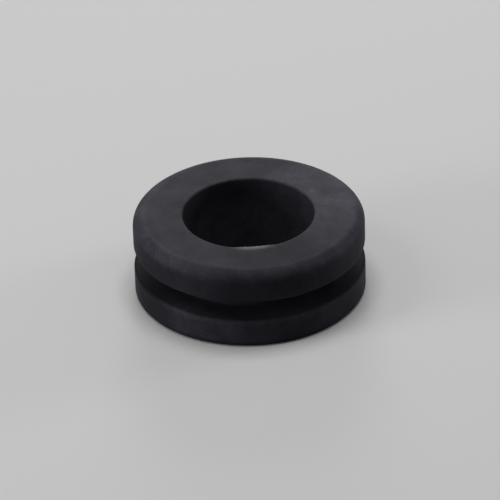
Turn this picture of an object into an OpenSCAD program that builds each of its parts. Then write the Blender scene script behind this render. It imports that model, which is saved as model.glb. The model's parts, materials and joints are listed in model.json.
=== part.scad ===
// Rubber damper: a moulded ring with a groove round its outside and a plain bore.
// A panel's edge sits in the groove, and a sleeve, tube or stud goes through the bore.
// The origin is the centre of the bottom face, +Z is along the bore, and lengths are in millimetres.

/* [Flanges] */
// Outside diameter of the two flanges
flange_d = 22; // [20:0.5:30]
// Thickness of the flange above the groove
upper_flange_t = 3.2; // [2:0.1:5]
// Thickness of the flange below the groove
lower_flange_t = 2.8; // [2:0.1:5]
// Radius of the soft shoulder round the top face
shoulder_r = 1; // [0.3:0.05:1.5]
// Radius of the broken edge round the bottom face
foot_r = 0.4; // [0.1:0.05:1.5]

/* [Groove] */
// Width of the groove, which is the thickness of the panel that it takes
groove_w = 2; // [1:0.1:4]
// Diameter of the groove's floor, which is the hole in the panel
groove_d = 16; // [14:0.1:20]
// Radius in each corner of the groove's floor
groove_root_r = 0.3; // [0.1:0.05:0.45]
// Radius of the lip above the groove
upper_lip_r = 0.4; // [0.1:0.05:0.8]
// Radius of the lip below the groove
lower_lip_r = 0.25; // [0.1:0.05:0.8]

/* [Bore] */
// Diameter of the bore
bore_d = 12.5; // [8:0.1:14]
// Radius of the rounded mouth at each end of the bore
bore_mouth_r = 0.15; // [0.1:0.05:1]

/* [Hidden] */

rubber = "#3c3b40";

flange_r = flange_d / 2;
groove_r = groove_d / 2;
bore_r = bore_d / 2;

groove_bottom_z = lower_flange_t;
groove_top_z = groove_bottom_z + groove_w;
height = groove_top_z + upper_flange_t;

// How far a cut runs past the face that it leaves, or a fill runs into the wall behind it
overlap = 0.2;
// Segments in a full turn of the ring, and in the small arcs of its section
turn_fn = 180;
arc_fn = 64;

// The four ways that a corner of the section can point, as turns from outwards and up
outwards_up = 0;
inwards_up = 90;
inwards_down = 180;
outwards_down = 270;

// What rounding takes off an outside corner at [x, z]: all beyond an arc of radius r
module rounded_off(corner, points, r) {
    translate(corner)
        rotate(points)
            translate([-r, -r])
                difference() {
                    square(r + overlap);
                    circle(r, $fn = arc_fn);
                }
}

// What a fillet of radius r adds in an inside corner at [x, z] that opens the way given
module filled_in(corner, opens, r) {
    translate(corner)
        rotate(opens)
            difference() {
                translate([-overlap, -overlap]) square(r + overlap);
                translate([r, r]) circle(r, $fn = arc_fn);
            }
}

// Half section with square corners: a wall from bore to flange, with the groove cut into its outside
module square_section() {
    difference() {
        translate([bore_r, 0]) square([flange_r - bore_r, height]);
        translate([groove_r, groove_bottom_z]) square([flange_r - groove_r + overlap, groove_w]);
    }
}

// Half section as moulded, with fillets at the groove's floor and every outside edge rounded
module section() {
    difference() {
        union() {
            square_section();
            filled_in([groove_r, groove_bottom_z], outwards_up, groove_root_r);
            filled_in([groove_r, groove_top_z], outwards_down, groove_root_r);
        }
        rounded_off([flange_r, height], outwards_up, shoulder_r);
        rounded_off([flange_r, groove_top_z], outwards_down, upper_lip_r);
        rounded_off([flange_r, groove_bottom_z], outwards_up, lower_lip_r);
        rounded_off([flange_r, 0], outwards_down, foot_r);
        for (end = [[height, inwards_up], [0, inwards_down]])
            rounded_off([bore_r, end[0]], end[1], bore_mouth_r);
    }
}

// The whole damper, one moulding
module damper() {
    color(rubber) rotate_extrude($fn = turn_fn) section();
}

damper();
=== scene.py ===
import json
import math

import bmesh
import bpy
from mathutils import Matrix, Vector


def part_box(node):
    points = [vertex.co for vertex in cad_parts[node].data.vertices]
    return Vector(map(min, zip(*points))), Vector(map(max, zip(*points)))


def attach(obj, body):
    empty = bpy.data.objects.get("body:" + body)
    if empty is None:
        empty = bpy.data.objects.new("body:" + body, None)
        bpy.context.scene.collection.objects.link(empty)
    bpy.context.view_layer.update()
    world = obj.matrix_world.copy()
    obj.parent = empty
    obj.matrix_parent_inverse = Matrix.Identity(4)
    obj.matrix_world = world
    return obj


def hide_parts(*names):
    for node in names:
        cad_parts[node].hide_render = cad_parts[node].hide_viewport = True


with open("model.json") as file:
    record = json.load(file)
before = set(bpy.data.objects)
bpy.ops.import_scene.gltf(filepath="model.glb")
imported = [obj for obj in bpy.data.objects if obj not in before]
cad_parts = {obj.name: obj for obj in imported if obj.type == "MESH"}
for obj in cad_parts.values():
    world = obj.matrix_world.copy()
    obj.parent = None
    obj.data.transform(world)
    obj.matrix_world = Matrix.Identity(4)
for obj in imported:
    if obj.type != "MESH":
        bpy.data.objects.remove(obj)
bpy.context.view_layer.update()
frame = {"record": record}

# The damper is one ring of black rubber, pressed and cured in a mould that parts along its flanges.
# Its section runs from the plain bore out to two flanges, with a groove between them for a panel's edge.
# That section is drawn with sharp corners, rounded corner by corner and spun about the bore.
MM = 0.001
lowest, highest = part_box("damper")
bore_mount = next(mount for mount in frame["record"]["mounts"] if mount["name"] == "bore")
height = highest.z - lowest.z
flange_radius = (highest.x - lowest.x) / 2
bore_radius = bore_mount["dims"]["r_mm"] * MM
groove_radius = 8 * MM
upper_flange = 3.2 * MM
lower_flange = 2.8 * MM
groove_low = lower_flange
groove_high = height - upper_flange
shoulder_round = 1.0 * MM
foot_round = 0.4 * MM
upper_lip_round = 0.4 * MM
lower_lip_round = 0.25 * MM
root_round = 0.3 * MM
mouth_round = 0.15 * MM
section_corners = [
    ((bore_radius, 0), mouth_round),
    ((flange_radius, 0), foot_round),
    ((flange_radius, groove_low), lower_lip_round),
    ((groove_radius, groove_low), root_round),
    ((groove_radius, groove_high), root_round),
    ((flange_radius, groove_high), upper_lip_round),
    ((flange_radius, height), shoulder_round),
    ((bore_radius, height), mouth_round),
]

ring = bmesh.new()
corner_points = [ring.verts.new((x, 0, z)) for (x, z), _ in section_corners]
ring.faces.new(corner_points)
arc_segments = 8
for point, (_, radius) in zip(corner_points, section_corners):
    bmesh.ops.bevel(
        ring, geom=[point], offset=radius, offset_type="OFFSET", affect="VERTICES",
        segments=arc_segments, profile=0.5, material=-1,
    )
bmesh.ops.delete(ring, geom=ring.faces[:], context="FACES_ONLY")

# The straight runs get points too, so that the flash can shape them
face_size = 0.22 * MM
for run in ring.edges[:]:
    cuts = int(run.calc_length() / face_size)
    if cuts:
        bmesh.ops.subdivide_edges(ring, edges=[run], cuts=cuts)
turn_steps = 320
bmesh.ops.spin(
    ring, geom=ring.verts[:] + ring.edges[:], cent=(0, 0, 0), axis=(0, 0, 1), dvec=(0, 0, 0),
    angle=math.tau, steps=turn_steps, use_merge=True, use_duplicate=False,
)
same_point = 0.001 * MM
bmesh.ops.remove_doubles(ring, verts=ring.verts[:], dist=same_point)
bmesh.ops.recalc_face_normals(ring, faces=ring.faces[:])


# Falls from 1 to 0, softly at both ends, while the value goes from start to end
def fall_off(value, start, end):
    part = min(max((end - value) / (end - start), 0), 1)
    return part * part * (3 - 2 * part)


# A thin lip of flash, pressed out where the mould's core met its lid, leans into the bore at the front
flash_middle = math.radians(4)
flash_full = math.radians(7)
flash_end = math.radians(23)
flash_reach = 0.75 * MM
flash_inward = 0.36 * MM
flash_sag = 0.06 * MM
for point in ring.verts:
    from_bore_axis = math.hypot(point.co.x, point.co.y)
    from_mouth = math.hypot(from_bore_axis - bore_radius, point.co.z - height)
    turn_away = abs(math.atan2(point.co.x, -point.co.y) - flash_middle)
    share = fall_off(from_mouth, 0, flash_reach) * fall_off(turn_away, flash_full, flash_end)
    point.co.x *= 1 - share * flash_inward / from_bore_axis
    point.co.y *= 1 - share * flash_inward / from_bore_axis
    point.co.z -= share * flash_sag
ring.normal_update()

damper_mesh = bpy.data.meshes.new("damper_ring")
ring.to_mesh(damper_mesh)
ring.free()
damper_mesh.shade_smooth()
damper = bpy.data.objects.new("damper_ring", damper_mesh)
bpy.context.scene.collection.objects.link(damper)
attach(damper, "root")
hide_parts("damper")

# Black rubber: a dark compound under a thin grey bloom, the film of wax that comes out of cured rubber.
# The bloom is uneven all over, and the top takes more of the grey than the sides.
# Painted light makes the bore lighter low down; painted shade darkens the foot, and the groove's left and
# right ends take no grey at all.
compound_colour = (0.0165, 0.0158, 0.0210, 1)
bloom_and_painted_light_colour = (0.097, 0.0955, 0.119, 1)
rubber = bpy.data.materials.new("black_rubber")
rubber.use_nodes = True
nodes = rubber.node_tree.nodes
links = rubber.node_tree.links
shader = nodes["Principled BSDF"]
shader.inputs["Specular IOR Level"].default_value = 0.05


def connect(value, socket):
    if isinstance(value, bpy.types.NodeSocket):
        links.new(value, socket)
    else:
        socket.default_value = value


def calculate(operation, first, second=0):
    step = nodes.new("ShaderNodeMath")
    step.operation = operation
    connect(first, step.inputs[0])
    connect(second, step.inputs[1])
    return step.outputs["Value"]


def product(first, *others):
    for other in others:
        first = calculate("MULTIPLY", first, other)
    return first


# Goes softly from one result to the other while the value goes from low to high
def soften(value, low, high, at_low, at_high):
    step = nodes.new("ShaderNodeMapRange")
    step.interpolation_type = "SMOOTHSTEP"
    connect(value, step.inputs["Value"])
    step.inputs["From Min"].default_value = low
    step.inputs["From Max"].default_value = high
    connect(at_low, step.inputs["To Min"])
    connect(at_high, step.inputs["To Max"])
    return step.outputs["Result"]


position = nodes.new("ShaderNodeTexCoord").outputs["Object"]
place = nodes.new("ShaderNodeSeparateXYZ")
links.new(position, place.inputs["Vector"])
to_right = place.outputs["X"]
to_back = place.outputs["Y"]
height_up = place.outputs["Z"]
from_middle = calculate("ABSOLUTE", to_right)
from_axis = calculate("SQRT", calculate("ADD", product(to_right, to_right), product(to_back, to_back)))


def distance_from(point):
    measure = nodes.new("ShaderNodeVectorMath")
    measure.operation = "DISTANCE"
    links.new(position, measure.inputs[0])
    measure.inputs[1].default_value = point
    return measure.outputs["Value"]


# How much of the grey colour the sides and the top take, from none at 0 to all of it at 1
side_lightness = 0.158
top_lightness = 0.271
by_height = soften(height_up, height - 1.5 * MM, height - 0.6 * MM, at_low=side_lightness, at_high=top_lightness)

# From here on, each value is a share: a place takes more of the grey colour where it is over 1, and less
# where it is under.
# The bore's wall has painted light low down, and painted shade under the mouth.
up_wall = soften(height_up, 3 * MM, height - 0.4 * MM, at_low=2.4, at_high=0.4)
to_mouth = soften(height_up, height - 0.3 * MM, height - 0.1 * MM, at_low=up_wall, at_high=1)
bore_painted_light_and_shade = soften(from_axis, bore_radius, bore_radius + 0.2 * MM, at_low=to_mouth, at_high=1)

# Below the groove the front is lighter, painted light, and the foot is darker all round, painted shade
at_front = soften(to_back, -10 * MM, -5 * MM, at_low=1.6, at_high=1)
front_painted_light_below_groove = soften(height_up, groove_low - lower_lip_round, groove_low, at_low=at_front, at_high=1)
painted_foot_shade = soften(height_up, 0.25 * MM, 0.65 * MM, at_low=0.2, at_high=1)

# The groove is painted lighter on the left than on the right and painted dark at its ends, where it takes no
# grey, and its lips get a little painted light
groove_middle = (groove_low + groove_high) / 2
groove_half = (groove_high - groove_low) / 2
from_groove = calculate("ABSOLUTE", calculate("SUBTRACT", height_up, groove_middle))
left_to_right = soften(to_right, -9 * MM, 2 * MM, at_low=2.2, at_high=0.8)
short_of_ends = soften(from_middle, 8 * MM, 9.8 * MM, at_low=1, at_high=0)
painted_groove_light_and_shade = product(left_to_right, short_of_ends)
lip_from = groove_half + 0.2 * MM
lip_to = groove_half + 0.7 * MM
painted_lip_light = soften(from_groove, lip_from, lip_to, at_low=1.3, at_high=1)
round_groove = soften(from_groove, groove_half, lip_from, at_low=painted_groove_light_and_shade, at_high=painted_lip_light)
outer_side = product(round_groove, painted_foot_shade)
outside = soften(from_axis, bore_radius + 0.5 * MM, groove_radius, at_low=1, at_high=outer_side)


# A patch of painted light or shade, lighter or darker than the surface round it, with a soft edge
def painted_light_patch(middle, full_to, ends_at, share):
    return soften(distance_from(middle), full_to, ends_at, at_low=share, at_high=1)


# Painted shade on the front of the upper side and on the left side, painted light on the front of the lower
# side, a painted sheen on the right of the top, and a small painted glint on the top
upper_side = painted_light_patch((-1.5 * MM, -10.9 * MM, 5 * MM), full_to=0.8 * MM, ends_at=3.4 * MM, share=0.35)
left_side = painted_light_patch((-10 * MM, -4.6 * MM, 3 * MM), full_to=1 * MM, ends_at=5 * MM, share=0.2)
lower_side = painted_light_patch((-5.2 * MM, -9.7 * MM, 1.5 * MM), full_to=1 * MM, ends_at=4.5 * MM, share=1.35)
right_of_top = painted_light_patch((7.8 * MM, 3.6 * MM, height), full_to=2 * MM, ends_at=8 * MM, share=1.86)
painted_glint = painted_light_patch((6.1 * MM, 3.75 * MM, height), full_to=0.05 * MM, ends_at=0.4 * MM, share=1.9)

# The front of the top is darker, painted shade in two patches that end where the shoulder starts
shoulder_start = flange_radius - shoulder_round
front_right = painted_light_patch((3 * MM, -8.2 * MM, height), full_to=2.5 * MM, ends_at=6 * MM, share=0.35)
front_left = painted_light_patch((-5 * MM, -6.8 * MM, height), full_to=2 * MM, ends_at=5 * MM, share=0.83)
front_of_top = soften(
    from_axis, shoulder_start - 0.4 * MM, shoulder_start + 0.2 * MM,
    at_low=product(front_right, front_left), at_high=1,
)

# The shoulder has painted light towards the left, and a little painted shade about the middle
right_of_middle = soften(to_right, 1 * MM, 5 * MM, at_low=0.82, at_high=1)
along_shoulder = soften(to_right, -9 * MM, -3 * MM, at_low=1.6, at_high=right_of_middle)
above_side = soften(height_up, height - 1.2 * MM, height - 0.7 * MM, at_low=1, at_high=along_shoulder)
on_shoulder = soften(
    from_axis, shoulder_start - 0.5 * MM, shoulder_start + 0.1 * MM, at_low=1, at_high=above_side
)


def noise_pattern(size, detail, roughness):
    pattern = nodes.new("ShaderNodeTexNoise")
    pattern.inputs["Scale"].default_value = 1 / size
    pattern.inputs["Detail"].default_value = detail
    pattern.inputs["Roughness"].default_value = roughness
    links.new(position, pattern.inputs["Vector"])
    return pattern.outputs["Fac"]


# Most of a noise pattern lies between these two levels, which are spread over the range given
noise_low = 0.25
noise_high = 0.75


def spread(pattern, least, most):
    return soften(pattern, noise_low, noise_high, at_low=least, at_high=most)


# A soft mottle and a fine grain run through the bloom all over
mottle = noise_pattern(2.6 * MM, detail=5, roughness=0.68)
grain = noise_pattern(0.15 * MM, detail=2, roughness=0.5)
# The share of the grey colour multiplies the bloom's own mottle and grain with the painted light and shade
# set above
bloom_and_painted_light = product(
    by_height, bore_painted_light_and_shade, front_painted_light_below_groove, outside,
    upper_side, left_side, lower_side, right_of_top, painted_glint, front_of_top, on_shoulder,
    spread(mottle, least=0.5, most=1.5), spread(grain, least=0.7, most=1.3),
)
tone = nodes.new("ShaderNodeMix")
tone.data_type = "RGBA"
links.new(bloom_and_painted_light, tone.inputs["Factor"])
tone.inputs["A"].default_value = compound_colour
tone.inputs["B"].default_value = bloom_and_painted_light_colour
links.new(tone.outputs["Result"], shader.inputs["Base Color"])

# The grain makes the gloss uneven, and the flash is smoother than the rest
flash_tip = (
    bore_radius * math.sin(flash_middle), -bore_radius * math.cos(flash_middle), height
)
along_flash = soften(distance_from(flash_tip), 0.5 * MM, 2.8 * MM, at_low=0.55, at_high=1)
by_mouth = soften(from_axis, bore_radius, bore_radius + 0.6 * MM, at_low=along_flash, at_high=1)
links.new(product(spread(grain, least=0.52, most=0.68), by_mouth), shader.inputs["Roughness"])

# The grain also stands a little out of the surface
grain_bump = nodes.new("ShaderNodeBump")
grain_bump.inputs["Strength"].default_value = 0.3
grain_bump.inputs["Distance"].default_value = 0.02 * MM
links.new(grain, grain_bump.inputs["Height"])
links.new(grain_bump.outputs["Normal"], shader.inputs["Normal"])
damper_mesh.materials.append(rubber)

# The camera looks down on the ring from the front, a little rolled, through a long lens.
# The middle of the top face shows at the pixel given, counted from the picture's top left corner.
# The upper flange's radius, seen at that distance, is as many pixels long as is given.
picture_side = 500
top_middle_pixel = Vector((248.5, 212.7))
flange_pixels = 116.3
camera_distance = 40 * flange_radius
camera_elevation = math.radians(31.42)
camera_roll = math.radians(1.67)
sensor_width = 36
pixels_per_tangent = flange_pixels * camera_distance / flange_radius
camera_data = bpy.data.cameras.new("camera")
camera_data.sensor_width = sensor_width
camera_data.lens = sensor_width * pixels_per_tangent / picture_side
camera_data.clip_start = 0.05
camera_data.clip_end = 10
camera = bpy.data.objects.new("camera", camera_data)
bpy.context.scene.collection.objects.link(camera)
towards_camera = Vector((0, -math.cos(camera_elevation), math.sin(camera_elevation)))
aim_off = (top_middle_pixel - Vector((picture_side, picture_side)) / 2) / pixels_per_tangent
camera.matrix_world = (
    Matrix.Translation(Vector((0, 0, height)) + camera_distance * towards_camera)
    @ (-towards_camera).to_track_quat("-Z", "Y").to_matrix().to_4x4()
    @ Matrix.Rotation(-camera_roll, 4, "Z")
    @ Matrix.Rotation(math.atan(aim_off.y), 4, "X")
    @ Matrix.Rotation(math.atan(aim_off.x), 4, "Y")
)
bpy.context.scene.camera = camera

# The ring stands on a plain pale studio floor, which runs well past the picture on every side.
# It keeps its paleness for the eye and for reflections, and throws little light back up at the rubber.
floor_half = 1.5
pale_grey = (0.74, 0.74, 0.74, 1)
dark_grey = (0.2, 0.2, 0.2, 1)
floor_shape = bmesh.new()
bmesh.ops.create_grid(floor_shape, x_segments=1, y_segments=1, size=floor_half)
floor_mesh = bpy.data.meshes.new("floor")
floor_shape.to_mesh(floor_mesh)
floor_shape.free()
floor = bpy.data.objects.new("floor", floor_mesh)
bpy.context.scene.collection.objects.link(floor)
floor_paint = bpy.data.materials.new("floor")
floor_paint.use_nodes = True
floor_nodes = floor_paint.node_tree.nodes
floor_links = floor_paint.node_tree.links
floor_nodes.clear()


def either_ray(first, second):
    step = floor_nodes.new("ShaderNodeMath")
    step.operation = "MAXIMUM"
    floor_links.new(first, step.inputs[0])
    floor_links.new(second, step.inputs[1])
    return step.outputs["Value"]


ray = floor_nodes.new("ShaderNodeLightPath")
camera_or_glossy = either_ray(ray.outputs["Is Camera Ray"], ray.outputs["Is Glossy Ray"])
seen_ray = either_ray(camera_or_glossy, ray.outputs["Is Transmission Ray"])
floor_seen = floor_nodes.new("ShaderNodeBsdfDiffuse")
floor_seen.inputs["Color"].default_value = pale_grey
floor_bounce = floor_nodes.new("ShaderNodeBsdfDiffuse")
floor_bounce.inputs["Color"].default_value = dark_grey
floor_mix = floor_nodes.new("ShaderNodeMixShader")
floor_links.new(seen_ray, floor_mix.inputs["Fac"])
floor_links.new(floor_bounce.outputs["BSDF"], floor_mix.inputs[1])
floor_links.new(floor_seen.outputs["BSDF"], floor_mix.inputs[2])
floor_output = floor_nodes.new("ShaderNodeOutputMaterial")
floor_links.new(floor_mix.outputs["Shader"], floor_output.inputs["Surface"])
floor_mesh.materials.append(floor_paint)

# Soft boxes light the ring. Each stands in a direction from the ring's middle and faces it.
# A level of 1 lights a surface that faces the box so that its colour renders as it is written.
# A dim white world fills in the shadows.
box_distance = 0.3
fill_level = 0.13


def soft_box(name, azimuth, elevation, side, level):
    light_data = bpy.data.lights.new(name, "AREA")
    light_data.shape = "SQUARE"
    light_data.size = side
    light_data.energy = level * math.pi**2 * box_distance**2
    light = bpy.data.objects.new(name, light_data)
    turn = math.radians(azimuth)
    rise = math.radians(elevation)
    outward = Vector((math.sin(turn) * math.cos(rise), -math.cos(turn) * math.cos(rise), math.sin(rise)))
    light.location = Vector((0, 0, height / 2)) + box_distance * outward
    light.rotation_euler = outward.to_track_quat("Z", "Y").to_euler()
    light.visible_camera = False
    bpy.context.scene.collection.objects.link(light)


soft_box("overhead", azimuth=180, elevation=86, side=0.15, level=0.43)
soft_box("left", azimuth=-71, elevation=11, side=0.1, level=0.31)
soft_box("high left", azimuth=-80, elevation=50, side=0.1, level=0.07)
soft_box("right", azimuth=112, elevation=11, side=0.1, level=0.23)
soft_box("back", azimuth=180, elevation=17, side=0.1, level=0.28)

world = bpy.data.worlds.new("studio")
world.use_nodes = True
world.node_tree.nodes["Background"].inputs["Color"].default_value = (1, 1, 1, 1)
world.node_tree.nodes["Background"].inputs["Strength"].default_value = fill_level
bpy.context.scene.world = world
bpy.context.scene.view_settings.view_transform = "Standard"
